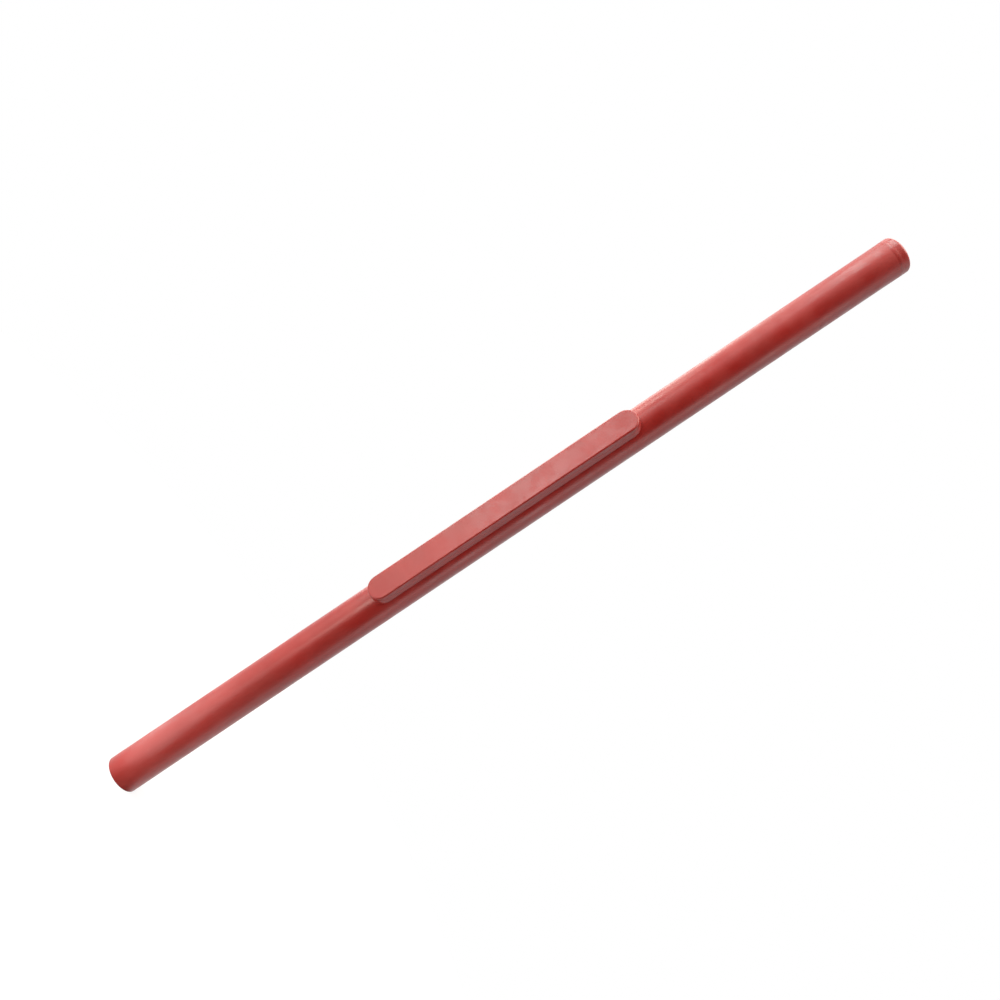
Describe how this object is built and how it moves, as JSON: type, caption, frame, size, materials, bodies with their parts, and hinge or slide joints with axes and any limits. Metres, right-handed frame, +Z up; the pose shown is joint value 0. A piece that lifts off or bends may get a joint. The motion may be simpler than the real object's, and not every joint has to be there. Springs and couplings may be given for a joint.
{
  "type": "post driver",
  "caption": "Long slim hand post driver: open-mouthed round steel tube with a capped, weighted top end and a flat grip bar welded along its middle.",
  "frame": {"origin": "centre of the open mouth, on the tube's axis, at the end that the tool stands on", "axes": "+Z up the tube from the mouth to the striking cap; the flat of the grip bar faces -Y"},
  "size_m": [0.0488, 0.0565, 1.135],
  "materials": {
    "red_paint": "satin red enamel over steel, slight orange peel",
    "painted_weld": "the same red enamel over dressed weld bead",
    "bare_steel": "turned steel, unpainted inside the tube"
  },
  "bodies": {
    "root": {"driver_tube": "red_paint", "end_cap": "red_paint", "cap_weld": "painted_weld", "striker_slug": "bare_steel", "slug_plug_welds": "painted_weld", "grip_bar": "red_paint", "grip_weld_left": "painted_weld", "grip_weld_right": "painted_weld", "grip_weld_upper_end": "painted_weld", "grip_weld_lower_end": "painted_weld"}
  },
  "joints": []
}
